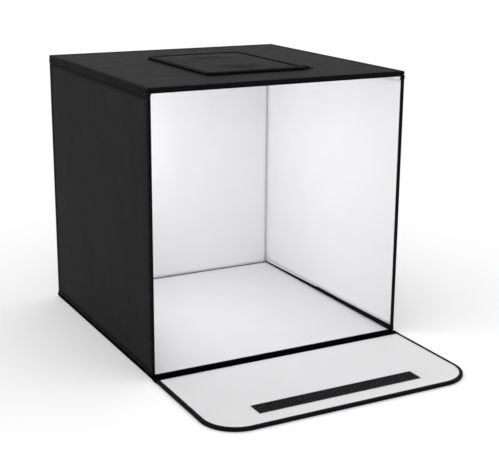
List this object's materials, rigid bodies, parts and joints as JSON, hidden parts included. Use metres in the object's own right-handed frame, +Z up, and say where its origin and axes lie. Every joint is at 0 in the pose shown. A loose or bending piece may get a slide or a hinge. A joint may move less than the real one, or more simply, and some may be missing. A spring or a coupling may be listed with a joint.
{
  "type": "light tent cube",
  "caption": "Fold-flat black tabletop shooting tent with a white lining, open front, front flap, covered top window and creased side walls.",
  "frame": {"origin": "middle of the floor panel's underside, on the ground plane and midway between the side walls and between the cube's front and back faces", "axes": "+X to the right seen from the open front, +Y from the front towards the back wall, +Z up; the front flap lies on the ground towards -Y"},
  "size_m": [0.4, 0.6, 0.4051],
  "materials": {
    "outer_fabric": "coated black woven fabric, semi-gloss",
    "edge_binding": "black ribbed edge tape, matte",
    "white_lining": "white soft-sheen reflective lining",
    "stiff_board": "fibreboard",
    "hook_tape": "black hook-and-loop tape",
    "light_channel": "satin",
    "diffuser": "milky satin plastic",
    "light_strip": "white circuit strip with emitters",
    "bar_ends": "black satin plastic"
  },
  "bodies": {
    "floor": {"floor_cover": "outer_fabric", "floor_board": "stiff_board", "floor_lining": "white_lining", "floor_binding": "edge_binding", "floor_gusset_left": "edge_binding", "floor_gusset_right": "edge_binding"},
    "left_lower": {"left_lower_cover": "outer_fabric", "left_lower_board": "stiff_board", "left_lower_lining": "white_lining", "left_lower_binding": "edge_binding"},
    "left_upper": {"left_upper_cover": "outer_fabric", "left_upper_board": "stiff_board", "left_upper_lining": "white_lining", "left_upper_binding": "edge_binding"},
    "top": {"top_cover": "outer_fabric", "top_board": "stiff_board", "top_lining": "white_lining", "top_binding": "edge_binding", "top_gusset_left": "edge_binding", "top_gusset_right": "edge_binding", "window_binding": "edge_binding", "window_loop_tape": "hook_tape", "window_hinge_strip": "outer_fabric", "front_bar_channel": "light_channel", "front_bar_light_strip": "light_strip", "front_bar_diffuser": "diffuser", "front_bar_inlet": "bar_ends", "front_bar_end_cap": "bar_ends", "rear_bar_channel": "light_channel", "rear_bar_light_strip": "light_strip", "rear_bar_diffuser": "diffuser", "rear_bar_inlet": "bar_ends", "rear_bar_end_cap": "bar_ends"},
    "right_lower": {"right_lower_cover": "outer_fabric", "right_lower_board": "stiff_board", "right_lower_lining": "white_lining", "right_lower_binding": "edge_binding"},
    "right_upper": {"right_upper_cover": "outer_fabric", "right_upper_board": "stiff_board", "right_upper_lining": "white_lining", "right_upper_binding": "edge_binding"},
    "back": {"back_cover": "outer_fabric", "back_board": "stiff_board", "back_lining": "white_lining", "back_binding": "edge_binding"},
    "flap": {"flap_cover": "outer_fabric", "flap_board": "stiff_board", "flap_lining": "white_lining", "flap_binding": "edge_binding", "flap_spine": "outer_fabric", "flap_hook_strip": "hook_tape"},
    "window_cover": {"window_cover_binding": "edge_binding", "window_cover_shell": "outer_fabric", "window_cover_lining": "white_lining", "window_cover_hook_tape": "hook_tape"}
  },
  "joints": [
    {"name": "wall_fold", "type": "hinge", "parent": "floor", "child": "left_lower", "pos_m": [-0.1946, 0, 0.0104], "axis": [0, 1, 0], "range_deg": [0, 90]},
    {"name": "left_crease_fold", "type": "hinge", "parent": "left_lower", "child": "left_upper", "pos_m": [-0.2003, 0, 0.1988], "axis": [0, 1, 0], "range_deg": [-180, 0]},
    {"name": "top_level", "type": "hinge", "parent": "left_upper", "child": "top", "pos_m": [-0.1946, 0, 0.3872], "axis": [0, 1, 0], "range_deg": [0, 90]},
    {"name": "right_wall_fold", "type": "hinge", "parent": "floor", "child": "right_lower", "pos_m": [0.1946, 0, 0.0104], "axis": [0, -1, 0], "range_deg": [0, 90]},
    {"name": "right_crease_fold", "type": "hinge", "parent": "right_lower", "child": "right_upper", "pos_m": [0.2003, 0, 0.1988], "axis": [0, -1, 0], "range_deg": [-180, 0]},
    {"name": "back_fold", "type": "hinge", "parent": "floor", "child": "back", "pos_m": [0, 0.1946, 0.005], "axis": [1, 0, 0], "range_deg": [0, 90]},
    {"name": "flap_fold", "type": "hinge", "parent": "floor", "child": "flap", "pos_m": [0, -0.2015, 0.005], "axis": [-1, 0, 0], "range_deg": [0, 90]},
    {"name": "window_cover_open", "type": "hinge", "parent": "top", "child": "window_cover", "pos_m": [0.0812, -0.021, 0.4041], "axis": [0, 1, 0], "range_deg": [0, 170]}
  ],
  "couplings": [
    {"joint": "left_crease_fold", "follows": "wall_fold", "ratio": -2},
    {"joint": "top_level", "follows": "wall_fold", "ratio": 1},
    {"joint": "right_wall_fold", "follows": "wall_fold", "ratio": 1},
    {"joint": "right_crease_fold", "follows": "wall_fold", "ratio": -2}
  ]
}
